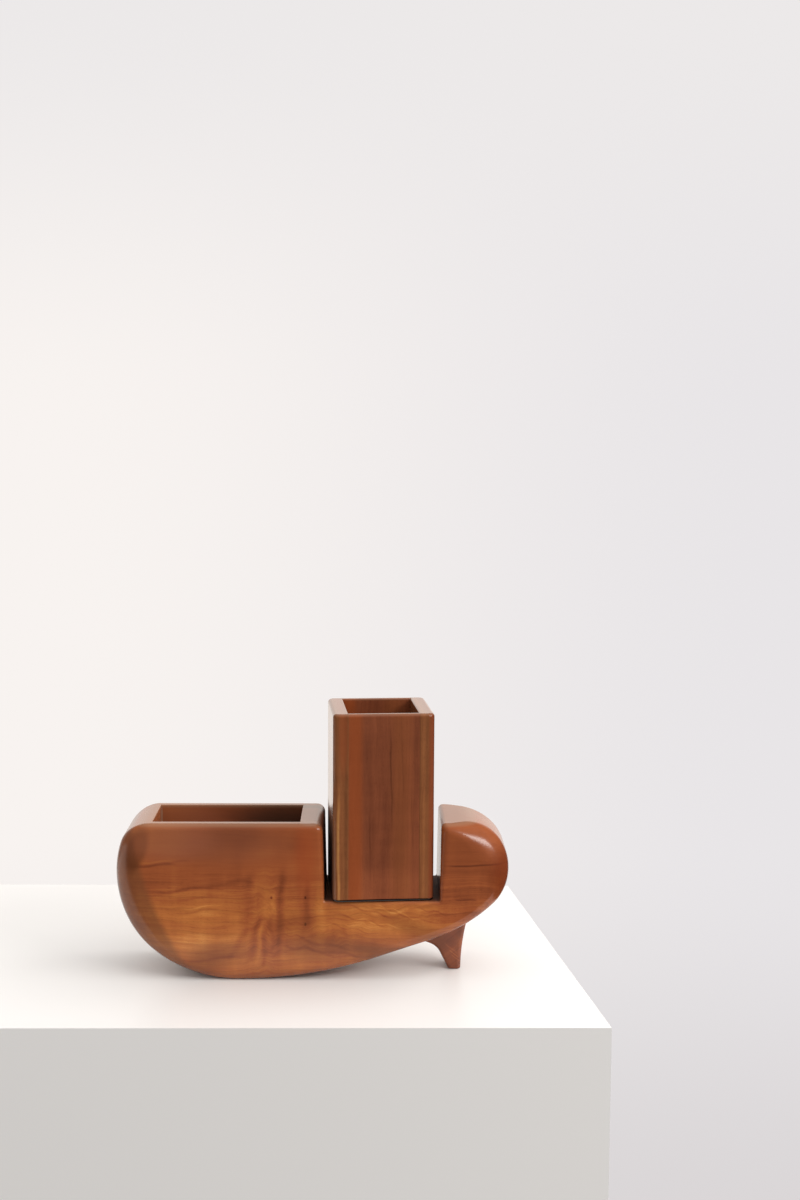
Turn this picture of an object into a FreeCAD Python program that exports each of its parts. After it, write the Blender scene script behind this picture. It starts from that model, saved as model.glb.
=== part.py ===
import FreeCAD, Part
import math
import os

import Sketcher
from FreeCAD import Vector

# Wooden pen stand: a carved body with a tray and an open slot, standing on its belly and one fin-shaped
# foot, and a square cup that stands loose in the slot.
# Millimetres and degrees. X runs along the body, -Y is the front, Z is up.
# The origin is on the floor under the middle of the body.

driving_sizes = {
    # outline of the body, seen from the front
    "body_length": 204.8,
    "body_depth": 51.4,
    "body_height": 82.7,
    "shoulder_radius": 17.0,
    "flank_radius": 50.0,
    "belly_flattening": 24.0,
    "belly_shift": 14.65,
    "run_length": 26.7,
    "chin_radius": 100.0,
    "nose_radius": 24.5,
    "nose_cover": 5.7,
    "resting_flat": 0.2,
    # layers of the body
    "cheek_thickness": 7.1,
    # tray
    "tray_inset": 0.75,
    "tray_depth": 52.0,
    "tray_rim_round": 0.6,
    # slot between the tray and the head
    "divider_thickness": 11.9,
    "head_length": 35.6,
    "slot_floor_height": 42.3,
    "slot_play": 7.5,
    "slot_left_lean": 1.4,
    "slot_right_lean": 0.8,
    "slot_corner_round": 1.0,
    "block_corner_round": 4.5,
    "head_corner_round": 2.5,
    # rounded arrises of the body, from place to place along the outline
    "rim_round": 3.2,
    "shoulder_round": 10.2,
    "flank_round": 7.2,
    "keel_round": 5.0,
    "chin_round": 4.8,
    "jaw_round": 6.0,
    "brow_round": 8.5,
    "head_edge_round": 4.5,
    "slot_edge_round": 1.8,
    # foot
    "foot_setback": 27.4,
    "foot_toe_length": 6.5,
    "foot_toe_width": 14.0,
    "foot_sweep_radius": 10.0,
    "foot_heel_lean": 26.0,
    "foot_knee_height": 13.3,
    "foot_feather_slope": 20.0,
    "foot_back_radius": 130.0,
    "foot_flank_taper": 9.5,
    "foot_edge_round": 2.4,
    "foot_toe_round": 0.9,
    # pins that hold the foot
    "pin_diameter": 5.0,
    "pin_length": 20.0,
    "pin_spacing": 8.0,
    "pin_setback": 1.0,
    "pin_cover": 7.0,
    "pin_chamfer": 0.6,
    "pin_clearance": 0.1,
    "pin_end_gap": 0.4,
    # cup
    "cup_overhang": 0.45,
    "cup_height": 98.2,
    "cup_side_thickness": 7.9,
    "cup_panel_thickness": 4.0,
    "cup_base_thickness": 7.0,
    "cup_corner_round": 3.5,
    "cup_top_round": 1.8,
    "cup_foot_round": 1.0,
    "cup_rim_round": 0.8,
    "cup_turn": 4.65,
    "cup_gap": 0.3,
}
pin_count = 2
near = 0.01

# Places worked out from the sizes, as spreadsheet expressions.
body_left = "(-sizes.body_length / 2)"
belly_radius = "(sizes.flank_radius + sizes.belly_flattening)"
flank_centre_x = f"({body_left} + sizes.flank_radius)"
belly_centre_x = f"({flank_centre_x} + sizes.belly_shift)"
belly_centre_z = f"({belly_radius} - sizes.resting_flat)"
flank_centre_z = f"({belly_centre_z} - sqrt(sizes.belly_flattening ^ 2 - sizes.belly_shift ^ 2))"
shoulder_centre_z = "(sizes.body_height - sizes.shoulder_radius)"
shoulder_centre_x = (f"({flank_centre_x} - sqrt((sizes.flank_radius - sizes.shoulder_radius) ^ 2"
                     f" - ({shoulder_centre_z} - {flank_centre_z}) ^ 2))")
nose_centre_x = "(sizes.body_length / 2 - sizes.nose_radius)"
core_thickness = "(sizes.body_depth - 2 * sizes.cheek_thickness)"
cup_width = "(sizes.body_depth + 2 * sizes.cup_overhang)"
slot_width = f"({cup_width} + sizes.slot_play)"
slot_height = "(sizes.body_height - sizes.slot_floor_height)"
head_corner_x = "(sizes.body_length / 2 - sizes.head_length)"
slot_right = f"({head_corner_x} - {slot_height} * tan(sizes.slot_right_lean))"
slot_left = f"({slot_right} - {slot_width})"
block_corner_x = f"({slot_left} - {slot_height} * tan(sizes.slot_left_lean))"
tray_left = f"({shoulder_centre_x} + sizes.tray_inset)"
tray_right = f"({block_corner_x} - sizes.divider_thickness)"
cutter_top = "(2 * sizes.body_height)"
foot_place = "(sizes.body_length / 2 - sizes.foot_setback)"
foot_heel = f"({foot_place} - sizes.foot_toe_length / 2)"
foot_back = f"({foot_place} + sizes.foot_toe_length / 2)"
feather_end_x = (f"({foot_heel} - sizes.foot_knee_height * tan(sizes.foot_heel_lean)"
                 f" - (sizes.slot_floor_height - sizes.foot_knee_height) / tan(sizes.foot_feather_slope))")
pin_bottom = "(sizes.slot_floor_height - sizes.pin_cover - sizes.pin_length)"
hole_diameter = "(sizes.pin_diameter + 2 * sizes.pin_clearance)"
cup_inside_width = f"({cup_width} - 2 * sizes.cup_side_thickness)"
cup_inside_depth = f"({cup_width} - 2 * sizes.cup_panel_thickness)"
cup_place = (f"({slot_left} + sizes.cup_gap"
             f" + {cup_width} / 2 * (cos(sizes.cup_turn) + sin(sizes.cup_turn)))")

document = FreeCAD.newDocument("pen_stand")


def make_sheet():
    sheet = document.addObject("Spreadsheet::Sheet", "sizes")
    for row, (alias, number) in enumerate(driving_sizes.items(), start=1):
        sheet.set(f"A{row}", alias)
        sheet.set(f"B{row}", str(number))
        sheet.setAlias(f"B{row}", alias)
    document.recompute()
    return sheet


sheet = make_sheet()


def value(expression):
    result = sheet.evalExpression(expression)
    return float(getattr(result, "Value", result))


def size(alias):
    return value(f"sizes.{alias}")


def new_sketch(body, name, plane_role):
    sketch = body.newObject("Sketcher::SketchObject", name)
    plane = next(item for item in body.Origin.OriginFeatures if item.Role == plane_role)
    sketch.AttachmentSupport = [(plane, "")]
    sketch.MapMode = "FlatFace"
    return sketch


def drive(sketch, name, expression, kind, *where):
    """Add a dimension to a sketch and bind it to the sheet."""
    number = value(expression)
    if kind == "Angle":
        number = math.radians(number)
    index = sketch.addConstraint(Sketcher.Constraint(kind, *where, number))
    sketch.renameConstraint(index, name)
    sketch.setExpression(f"Constraints.{name}", expression)


def arc(centre, radius, start, end):
    circle = Part.Circle(centre, Vector(0, 0, 1), radius)
    return Part.ArcOfCircle(circle, start, end)


def line(start, end):
    return Part.LineSegment(start, end)


def direction(start, end):
    return math.atan2(end.y - start.y, end.x - start.x)


def on_circle(centre, radius, angle):
    return centre + Vector(radius * math.cos(angle), radius * math.sin(angle), 0)


def close_loop(sketch, kind, ids):
    """Join each piece's end to the next piece's start."""
    for here, following in zip(ids, ids[1:] + ids[:1]):
        sketch.addConstraint(Sketcher.Constraint(kind, here, 2, following, 1))


def add_polygon(sketch, corners):
    """Straight sides from corner to corner, joined at their ends."""
    points = [Vector(x, y, 0) for x, y in corners]
    sides = [line(here, following) for here, following in zip(points, points[1:] + points[:1])]
    ids = list(sketch.addGeometry(sides, False))
    close_loop(sketch, "Coincident", ids)
    return ids


def pad(body, sketch, name, expression):
    feature = body.newObject("PartDesign::Pad", name)
    feature.Profile = sketch
    feature.Midplane = True
    feature.setExpression("Length", expression)
    return feature


def cut_through(body, sketch, name):
    feature = body.newObject("PartDesign::Pocket", name)
    feature.Profile = sketch
    feature.Midplane = True
    feature.Type = "ThroughAll"
    return feature


def round_edges(body, name, alias, chosen):
    """Round the edges of a body's newest shape whose middle point is chosen."""
    document.recompute()
    base = body.Tip
    names = []
    for number, edge in enumerate(base.Shape.Edges, start=1):
        if chosen(edge):
            names.append(f"Edge{number}")
    feature = body.newObject("PartDesign::Fillet", name)
    feature.Base = (base, names)
    feature.setExpression("Radius", f"sizes.{alias}")
    document.recompute()
    return feature


def middle(edge):
    return edge.valueAt((edge.FirstParameter + edge.LastParameter) / 2)


def is_at(edge, x=None, y=None, z=None):
    """Whether the whole edge lies at the given coordinates."""
    box = edge.BoundBox
    spans = ((x, box.XMin, box.XMax), (y, box.YMin, box.YMax), (z, box.ZMin, box.ZMax))
    return all(want is None or (abs(low - want) < near and abs(high - want) < near)
               for want, low, high in spans)


def outline_pieces():
    """The body's outline as a chain of tangent arcs and two straight runs, from the shoulder round."""
    shoulder = size("shoulder_radius")
    flank = size("flank_radius")
    belly = value(belly_radius)
    run_length = size("run_length")
    chin = size("chin_radius")
    nose = size("nose_radius")
    top = size("body_height")
    down = -math.pi / 2

    shoulder_centre = Vector(value(shoulder_centre_x), value(shoulder_centre_z), 0)
    flank_centre = Vector(value(flank_centre_x), value(flank_centre_z), 0)
    belly_centre = Vector(value(belly_centre_x), value(belly_centre_z), 0)
    shoulder_end = direction(flank_centre, shoulder_centre)
    flank_end = 2 * math.pi + direction(belly_centre, flank_centre)
    nose_centre = Vector(value(nose_centre_x), top - nose, 0)

    # The run's slope and the underside's radius follow from the place of the nose and the run's length.
    run_depth = nose + size("nose_cover")
    run_reach = run_length + math.sqrt((chin - nose) ** 2 - (chin - run_depth) ** 2)
    to_nose = nose_centre - belly_centre + Vector(0, belly, 0)
    slope = 2 * math.atan((to_nose.y - run_depth) / (to_nose.x + run_reach))
    underside = run_depth + (to_nose.x - run_reach * math.cos(slope)) / math.sin(slope)
    underside_centre = belly_centre + Vector(0, underside - belly, 0)
    run = Vector(math.cos(slope), math.sin(slope), 0)
    run_start = on_circle(underside_centre, underside, down + slope)
    run_end = run_start + run * run_length
    chin_centre = run_end + Vector(-run.y, run.x, 0) * chin
    chin_end = direction(chin_centre, nose_centre)

    return [
        arc(shoulder_centre, shoulder, math.pi / 2, shoulder_end),
        arc(flank_centre, flank, shoulder_end, flank_end),
        arc(belly_centre, belly, flank_end, 2 * math.pi + down),
        arc(underside_centre, underside, down, down + slope),
        line(run_start, run_end),
        arc(chin_centre, chin, down + slope, chin_end),
        arc(nose_centre, nose, chin_end, math.pi / 2),
        line(nose_centre + Vector(0, nose, 0), shoulder_centre + Vector(0, shoulder, 0)),
    ]


def outline_sketch(body):
    sketch = new_sketch(body, "outline", "XZ_Plane")
    ids = list(sketch.addGeometry(outline_pieces(), False))
    shoulder, flank, belly, underside, run, chin, nose, top = ids
    close_loop(sketch, "Tangent", ids)
    sketch.addConstraint(Sketcher.Constraint("Vertical", belly, 3, underside, 3))
    sketch.addConstraint(Sketcher.Constraint("Horizontal", top))
    drive(sketch, "shoulder", "sizes.shoulder_radius", "Radius", shoulder)
    drive(sketch, "flank", "sizes.flank_radius", "Radius", flank)
    drive(sketch, "belly", belly_radius, "Radius", belly)
    drive(sketch, "run", "sizes.run_length", "Distance", run)
    drive(sketch, "chin", "sizes.chin_radius", "Radius", chin)
    drive(sketch, "nose", "sizes.nose_radius", "Radius", nose)
    drive(sketch, "flank_x", flank_centre_x, "DistanceX", -1, 1, flank, 3)
    drive(sketch, "belly_x", belly_centre_x, "DistanceX", -1, 1, belly, 3)
    drive(sketch, "belly_z", belly_centre_z, "DistanceY", -1, 1, belly, 3)
    drive(sketch, "nose_x", nose_centre_x, "DistanceX", -1, 1, nose, 3)
    drive(sketch, "top_z", "sizes.body_height", "DistanceY", -1, 1, top, 1)
    drive(sketch, "run_depth", "(sizes.nose_radius + sizes.nose_cover)", "Distance", nose, 3, run)
    return sketch


def slot_sketch(body):
    sketch = new_sketch(body, "slot_outline", "XZ_Plane")
    left = value(slot_left)
    right = value(slot_right)
    floor = size("slot_floor_height")
    top = value(cutter_top)
    left_top = left - (top - floor) * math.tan(math.radians(size("slot_left_lean")))
    right_top = right + (top - floor) * math.tan(math.radians(size("slot_right_lean")))
    corners = [(left, floor), (right, floor), (right_top, top), (left_top, top)]
    floor_side, right_side, top_side, left_side = add_polygon(sketch, corners)
    sketch.addConstraint(Sketcher.Constraint("Horizontal", floor_side))
    sketch.addConstraint(Sketcher.Constraint("Horizontal", top_side))
    drive(sketch, "left", slot_left, "DistanceX", -1, 1, floor_side, 1)
    drive(sketch, "floor", "sizes.slot_floor_height", "DistanceY", -1, 1, floor_side, 1)
    drive(sketch, "width", slot_width, "DistanceX", floor_side, 1, floor_side, 2)
    drive(sketch, "top", cutter_top, "DistanceY", -1, 1, top_side, 1)
    drive(sketch, "right_angle", "(90 - sizes.slot_right_lean)", "Angle", right_side)
    drive(sketch, "left_angle", "(-90 + sizes.slot_left_lean)", "Angle", left_side)
    return sketch


def make_outline_body():
    """The sawn blank: outline and slot, with the four corners across the body rounded."""
    body = document.addObject("PartDesign::Body", "outline_body")
    outline = outline_sketch(body)
    pad(body, outline, "blank", "sizes.body_depth")
    cut_through(body, slot_sketch(body), "slot")
    top = size("body_height")
    floor = size("slot_floor_height")
    block_corner = value(block_corner_x)
    head_corner = value(head_corner_x)
    round_edges(body, "block_corner", "block_corner_round", lambda edge: is_at(edge, x=block_corner, z=top))
    round_edges(body, "head_corner", "head_corner_round", lambda edge: is_at(edge, x=head_corner, z=top))
    round_edges(body, "slot_corners", "slot_corner_round",
                lambda edge: is_at(edge, z=floor) and abs(middle(edge).y) < near)
    return body, outline


def arris_stations(outline):
    """Points along the outline with the radius that the front and back arris has there."""
    def outline_end(piece):
        point = outline.getPoint(piece, 2)
        return Vector(point.x, 0, point.y)

    shoulder, flank, belly, underside, run, chin, nose, top = range(outline.GeometryCount)
    height = size("body_height")
    floor = size("slot_floor_height")
    return [
        (outline_end(top), size("rim_round")),
        (outline_end(shoulder), size("shoulder_round")),
        (outline_end(flank), size("flank_round")),
        (outline_end(belly), size("keel_round")),
        (outline_end(underside), size("keel_round")),
        (outline_end(run), size("chin_round")),
        (outline_end(chin), size("jaw_round")),
        (outline_end(nose), size("brow_round")),
        (Vector(value(head_corner_x), 0, height), size("head_edge_round")),
        (Vector(value(slot_right), 0, floor), size("slot_edge_round")),
        (Vector(value(slot_left), 0, floor), size("slot_edge_round")),
        (Vector(value(block_corner_x), 0, height), size("rim_round")),
    ]


def make_rounded_body(outline_body, outline):
    """Round the front and back arrises, with a radius that swells and thins from station to station."""
    stations = arris_stations(outline)

    def radius_at(point):
        flat_point = Vector(point.x, 0, point.z)
        return min(stations, key=lambda station: station[0].distanceToPoint(flat_point))[1]

    rounded = document.addObject("Part::Fillet", "rounded_body")
    rounded.Base = outline_body
    half = size("body_depth") / 2
    rounds = []
    for number, edge in enumerate(outline_body.Shape.Edges, start=1):
        if is_at(edge, y=half) or is_at(edge, y=-half):
            first = edge.valueAt(edge.FirstParameter)
            last = edge.valueAt(edge.LastParameter)
            rounds.append((number, radius_at(first), radius_at(last)))
    rounded.Edges = rounds
    document.recompute()
    return rounded


def make_box(name, corner, lengths):
    """A box from its lowest corner and its three lengths, all given as expressions."""
    box = document.addObject("Part::Box", name)
    for side, expression in zip(("Length", "Width", "Height"), lengths):
        box.setExpression(side, expression)
    for axis, expression in zip("xyz", corner):
        box.setExpression(f"Placement.Base.{axis}", expression)
    return box


def combine(kind, name, base, tool, label=None):
    """A boolean of two objects: Part::Cut or Part::Common."""
    result = document.addObject(kind, name)
    result.Label = label or name
    result.Base = base
    result.Tool = tool
    return result


def make_hollowed_body(rounded):
    """Sink the tray between the cheeks and soften its rim."""
    tray = make_box("tray_space",
                    (tray_left, f"-{core_thickness} / 2", "sizes.body_height - sizes.tray_depth"),
                    (f"{tray_right} - {tray_left}", core_thickness, cutter_top))
    hollowed = combine("Part::Cut", "hollowed_body", rounded, tray)
    document.recompute()
    eased = document.addObject("Part::Fillet", "eased_body")
    eased.Base = hollowed
    left = value(tray_left)
    right = value(tray_right)
    half = value(core_thickness) / 2
    top = size("body_height")
    radius = size("tray_rim_round")
    rim = []
    for number, edge in enumerate(hollowed.Shape.Edges, start=1):
        across = is_at(edge, x=left, z=top) or is_at(edge, x=right, z=top)
        along = is_at(edge, y=half, z=top) or is_at(edge, y=-half, z=top)
        if across or along:
            rim.append((number, radius, radius))
    eased.Edges = rim
    document.recompute()
    return eased


def make_layers(whole):
    """The three boards that the body is glued up from, trimmed flat on the floor: front, core, back."""
    half = f"{core_thickness} / 2"
    boards = {
        "front_cheek": ("-sizes.body_depth / 2", "sizes.cheek_thickness"),
        "core_layer": (f"-{half}", core_thickness),
        "back_cheek": (half, "sizes.cheek_thickness"),
    }
    layers = []
    for name, (front, thickness) in boards.items():
        slab = make_box(f"{name}_slab", (f"2 * {body_left}", front, "0"),
                        ("2 * sizes.body_length", thickness, cutter_top))
        layers.append(combine("Part::Common", f"{name}_board", whole, slab, label=name))
    return layers


def foot_side_sketch(body):
    """The foot seen from the front: toe, hollow back, leaning heel, and a run that feathers out under the body."""
    sketch = new_sketch(body, "foot_side", "XZ_Plane")
    top = size("slot_floor_height")
    sweep = size("foot_sweep_radius")
    back = size("foot_back_radius")
    knee_height = size("foot_knee_height")
    heel_angle = math.radians(90 + size("foot_heel_lean"))
    feather_angle = math.radians(180 - size("foot_feather_slope"))
    heel = Vector(value(foot_heel), 0, 0)
    toe_end = Vector(value(foot_back), 0, 0)
    knee = heel + Vector(knee_height / math.tan(heel_angle), knee_height, 0)
    trim = sweep * math.tan((feather_angle - heel_angle) / 2)
    heel_top = knee + Vector(-trim * math.cos(heel_angle), -trim * math.sin(heel_angle), 0)
    sweep_centre = on_circle(heel_top, sweep, heel_angle + math.pi / 2)
    feather_start = on_circle(knee, trim, feather_angle)
    feather_end = knee + Vector((top - knee_height) / math.tan(feather_angle), top - knee_height, 0)
    back_centre = toe_end + Vector(back, 0, 0)
    back_top = math.pi - math.asin(top / back)
    pieces = [
        line(heel, toe_end),
        arc(back_centre, back, back_top, math.pi),
        line(on_circle(back_centre, back, back_top), feather_end),
        line(feather_end, feather_start),
        arc(sweep_centre, sweep, heel_angle - math.pi / 2, feather_angle - math.pi / 2),
        line(heel_top, heel),
    ]
    toe, hollow, top_side, feather, flare, heel_side = sketch.addGeometry(pieces, False)
    for first, second in (((toe, 2), (hollow, 2)), ((hollow, 1), (top_side, 1)), ((top_side, 2), (feather, 1)),
                          ((heel_side, 2), (toe, 1))):
        sketch.addConstraint(Sketcher.Constraint("Coincident", *first, *second))
    sketch.addConstraint(Sketcher.Constraint("Tangent", feather, 2, flare, 2))
    sketch.addConstraint(Sketcher.Constraint("Tangent", flare, 1, heel_side, 1))
    sketch.addConstraint(Sketcher.Constraint("PointOnObject", toe, 1, -1))
    sketch.addConstraint(Sketcher.Constraint("PointOnObject", toe, 2, -1))
    sketch.addConstraint(Sketcher.Constraint("PointOnObject", hollow, 3, -1))
    sketch.addConstraint(Sketcher.Constraint("Horizontal", top_side))
    drive(sketch, "heel", foot_heel, "DistanceX", -1, 1, toe, 1)
    drive(sketch, "toe", "sizes.foot_toe_length", "DistanceX", toe, 1, toe, 2)
    drive(sketch, "sweep", "sizes.foot_sweep_radius", "Radius", flare)
    drive(sketch, "heel_angle", "(sizes.foot_heel_lean - 90)", "Angle", heel_side)
    drive(sketch, "feather_angle", "(-sizes.foot_feather_slope)", "Angle", feather)
    drive(sketch, "feather_end", feather_end_x, "DistanceX", -1, 1, feather, 1)
    drive(sketch, "back", "sizes.foot_back_radius", "Radius", hollow)
    drive(sketch, "top", "sizes.slot_floor_height", "DistanceY", -1, 1, top_side, 1)
    return sketch


def foot_flank_sketch(body):
    """What is sawn off both sides of the foot, seen from its end: the foot widens upward from its toe."""
    sketch = new_sketch(body, "foot_flanks", "YZ_Plane")
    top = size("slot_floor_height")
    low = size("foot_toe_width") / 2
    high = low + top * math.tan(math.radians(size("foot_flank_taper")))
    outer = size("body_depth") / 2
    for side, name in ((1, "back"), (-1, "front")):
        corners = [(side * low, 0), (side * outer, 0), (side * outer, top), (side * high, top)]
        bottom, outside, upper, flank = add_polygon(sketch, corners)
        sketch.addConstraint(Sketcher.Constraint("PointOnObject", bottom, 1, -1))
        sketch.addConstraint(Sketcher.Constraint("Horizontal", bottom))
        sketch.addConstraint(Sketcher.Constraint("Vertical", outside))
        sketch.addConstraint(Sketcher.Constraint("Horizontal", upper))
        drive(sketch, f"{name}_toe", f"({side} * sizes.foot_toe_width / 2)", "DistanceX", -1, 1, bottom, 1)
        drive(sketch, f"{name}_outside", f"({side} * sizes.body_depth / 2)", "DistanceX", -1, 1, bottom, 2)
        drive(sketch, f"{name}_top", "sizes.slot_floor_height", "DistanceY", -1, 1, upper, 1)
        drive(sketch, f"{name}_taper", f"(-90 - {side} * sizes.foot_flank_taper)", "Angle", flank)
    return sketch


def make_foot_blank():
    """The foot sawn from two sides, with its four long edges and its toe rounded."""
    body = document.addObject("PartDesign::Body", "foot_blank")
    pad(body, foot_side_sketch(body), "foot_pad", "sizes.body_depth")
    cut_through(body, foot_flank_sketch(body), "foot_flank_cut")

    def long_edge(edge):
        box = edge.BoundBox
        starts_at_toe = abs(box.ZMin) < near and box.ZMax > size("resting_flat") + near
        return starts_at_toe and abs(middle(edge).y) > near

    round_edges(body, "foot_edges", "foot_edge_round", long_edge)
    round_edges(body, "foot_toe", "foot_toe_round", lambda edge: is_at(edge, z=0))
    return body


def make_pin(number, diameter, bottom, length, name):
    """One upright pin, or its hole, under the slot."""
    pin = document.addObject("Part::Cylinder", name)
    pin.Label = name
    pin.setExpression("Radius", f"{diameter} / 2")
    pin.setExpression("Height", length)
    pin.setExpression("Placement.Base.x",
                      f"{foot_place} - sizes.pin_setback - {number} * sizes.pin_spacing")
    pin.setExpression("Placement.Base.z", bottom)
    return pin


def chamfered(pin, name):
    document.recompute()
    result = document.addObject("Part::Chamfer", f"{name}_turned")
    result.Label = name
    result.Base = pin
    leg = size("pin_chamfer")
    result.Edges = [(number, leg, leg) for number, edge in enumerate(pin.Shape.Edges, start=1)
                    if edge.Closed and edge.Curve.TypeId == "Part::GeomCircle"]
    return result


def make_foot_parts(core_layer, outline_body):
    """The foot seated on the underside, its pins, and the core with the pins' holes."""
    hole_length = "(sizes.pin_length + sizes.pin_end_gap)"
    holes = document.addObject("Part::MultiFuse", "pin_holes")
    holes.Shapes = [make_pin(number, hole_diameter, pin_bottom, hole_length, f"pin_hole_{number + 1}")
                    for number in range(pin_count)]
    seated = combine("Part::Cut", "seated_foot", make_foot_blank(), outline_body)
    foot = combine("Part::Cut", "drilled_foot", seated, holes, label="foot")
    core = combine("Part::Cut", "drilled_core", core_layer, holes, label="body_core")
    pins = []
    for number in range(pin_count):
        blank = make_pin(number, "sizes.pin_diameter", pin_bottom, "sizes.pin_length",
                         f"pin_blank_{number + 1}")
        pins.append(chamfered(blank, f"foot_pin_{number + 1}"))
    return [core, foot, *pins]


def rectangle_sketch(body, name, width, depth):
    """A centred rectangle on the floor plane of a body."""
    sketch = new_sketch(body, name, "XY_Plane")
    across = value(width) / 2
    deep = value(depth) / 2
    corners = [(-across, -deep), (across, -deep), (across, deep), (-across, deep)]
    front, right, back, left = add_polygon(sketch, corners)
    for kind, side in (("Horizontal", front), ("Vertical", right), ("Horizontal", back), ("Vertical", left)):
        sketch.addConstraint(Sketcher.Constraint(kind, side))
    sketch.addConstraint(Sketcher.Constraint("Symmetric", front, 1, back, 1, -1, 1))
    drive(sketch, "width", width, "DistanceX", front, 1, front, 2)
    drive(sketch, "depth", depth, "DistanceY", right, 1, right, 2)
    return sketch


def make_cup_shell():
    """The four glued walls of the cup as one tube, with its corners and rims rounded."""
    body = document.addObject("PartDesign::Body", "cup_shell")
    tube = body.newObject("PartDesign::Pad", "cup_blank")
    tube.Profile = rectangle_sketch(body, "cup_outside", cup_width, cup_width)
    tube.setExpression("Length", "sizes.cup_height")
    cut_through(body, rectangle_sketch(body, "cup_cavity", cup_inside_width, cup_inside_depth), "cup_bore")
    outer = value(cup_width) / 2
    top = size("cup_height")

    def outside(edge):
        return max(abs(middle(edge).x), abs(middle(edge).y)) > outer - near

    round_edges(body, "cup_corners", "cup_corner_round",
                lambda edge: any(is_at(edge, x=x, y=y) for x in (-outer, outer) for y in (-outer, outer)))
    round_edges(body, "cup_top_edge", "cup_top_round", lambda edge: is_at(edge, z=top) and outside(edge))
    round_edges(body, "cup_foot_edge", "cup_foot_round", lambda edge: is_at(edge, z=0) and outside(edge))
    round_edges(body, "cup_rim", "cup_rim_round", lambda edge: is_at(edge, z=top) and not outside(edge))
    return body


def stand_in_slot(piece):
    """Place a piece of the cup on the floor of the slot, turned a little."""
    piece.Placement = FreeCAD.Placement(Vector(), FreeCAD.Rotation(Vector(0, 0, 1), size("cup_turn")))
    piece.setExpression("Placement.Rotation.Angle", "sizes.cup_turn")
    piece.setExpression("Placement.Base.x", cup_place)
    piece.setExpression("Placement.Base.z", "sizes.slot_floor_height")
    return piece


def make_cup_base():
    """The board that closes the cup, glued in between its four walls."""
    body = document.addObject("PartDesign::Body", "cup_base")
    board = body.newObject("PartDesign::Pad", "base_board")
    board.Profile = rectangle_sketch(body, "base_outline", cup_inside_width, cup_inside_depth)
    board.setExpression("Length", "sizes.cup_base_thickness")
    return body


def make_cup_parts():
    """Two side walls of full depth, two panels between them, and the base that they enclose."""
    shell = make_cup_shell()
    outer = f"-{cup_width} / 2"
    inner = f"-{cup_inside_width} / 2"
    far = f"{cup_inside_width} / 2"
    side = "sizes.cup_side_thickness"
    panel = "sizes.cup_panel_thickness"
    height = "sizes.cup_height"
    slabs = {
        "cup_left_wall": ((outer, outer, "0"), (side, cup_width, height)),
        "cup_right_wall": ((far, outer, "0"), (side, cup_width, height)),
        "cup_front_panel": ((inner, outer, "0"), (cup_inside_width, panel, height)),
        "cup_back_panel": ((inner, f"{cup_inside_depth} / 2", "0"), (cup_inside_width, panel, height)),
    }
    parts = []
    for name, (corner, lengths) in slabs.items():
        slab = make_box(f"{name}_slab", corner, lengths)
        parts.append(stand_in_slot(combine("Part::Common", f"{name}_board", shell, slab, label=name)))
    parts.append(stand_in_slot(make_cup_base()))
    return parts


def check_objects():
    for item in document.Objects:
        if "Invalid" in item.State or "Error" in item.State:
            raise RuntimeError(f"{item.Name} failed: {item.State}")


def write_parts(parts):
    os.makedirs("parts", exist_ok=True)
    for part in parts:
        shape = part.Shape
        if shape.isNull() or not shape.isValid():
            raise RuntimeError(f"{part.Label} has no valid shape")
        shape.exportStep(f"parts/{part.Label}.step")
        print(f"{part.Label}: {len(shape.Solids)} solid, {shape.Volume:.0f} mm3")


outline_body, outline = make_outline_body()
rounded = make_rounded_body(outline_body, outline)
whole = make_hollowed_body(rounded)
front_cheek, core_layer, back_cheek = make_layers(whole)
parts = [front_cheek, back_cheek]
parts += make_foot_parts(core_layer, outline_body)
parts += make_cup_parts()
document.recompute()
check_objects()
write_parts(parts)
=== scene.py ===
import math

import bmesh
import bpy
from mathutils import Matrix, Vector


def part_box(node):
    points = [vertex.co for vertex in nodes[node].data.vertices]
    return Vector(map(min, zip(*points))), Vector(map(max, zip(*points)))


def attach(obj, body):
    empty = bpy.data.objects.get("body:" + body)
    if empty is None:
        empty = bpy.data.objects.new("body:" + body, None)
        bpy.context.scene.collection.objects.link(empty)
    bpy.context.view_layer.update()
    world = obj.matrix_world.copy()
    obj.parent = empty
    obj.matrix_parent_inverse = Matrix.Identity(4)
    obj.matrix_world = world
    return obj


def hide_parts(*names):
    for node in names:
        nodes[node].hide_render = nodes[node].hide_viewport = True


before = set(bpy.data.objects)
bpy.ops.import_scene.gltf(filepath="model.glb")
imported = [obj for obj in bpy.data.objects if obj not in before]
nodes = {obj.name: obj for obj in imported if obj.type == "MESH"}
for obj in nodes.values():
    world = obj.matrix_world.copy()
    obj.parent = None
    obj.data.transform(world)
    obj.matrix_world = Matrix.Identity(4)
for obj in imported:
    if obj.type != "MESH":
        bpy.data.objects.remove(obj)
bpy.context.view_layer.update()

print("frame loaded:", len(nodes), "nodes")


# small helpers for node trees

def hexColour(text):
    # a six-digit colour code turned into linear light
    channels = [int(text[i:i + 2], 16) / 255 for i in (0, 2, 4)]
    linear = [c / 12.92 if c <= 0.04045 else ((c + 0.055) / 1.055) ** 2.4 for c in channels]
    return (*linear, 1.0)


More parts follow.
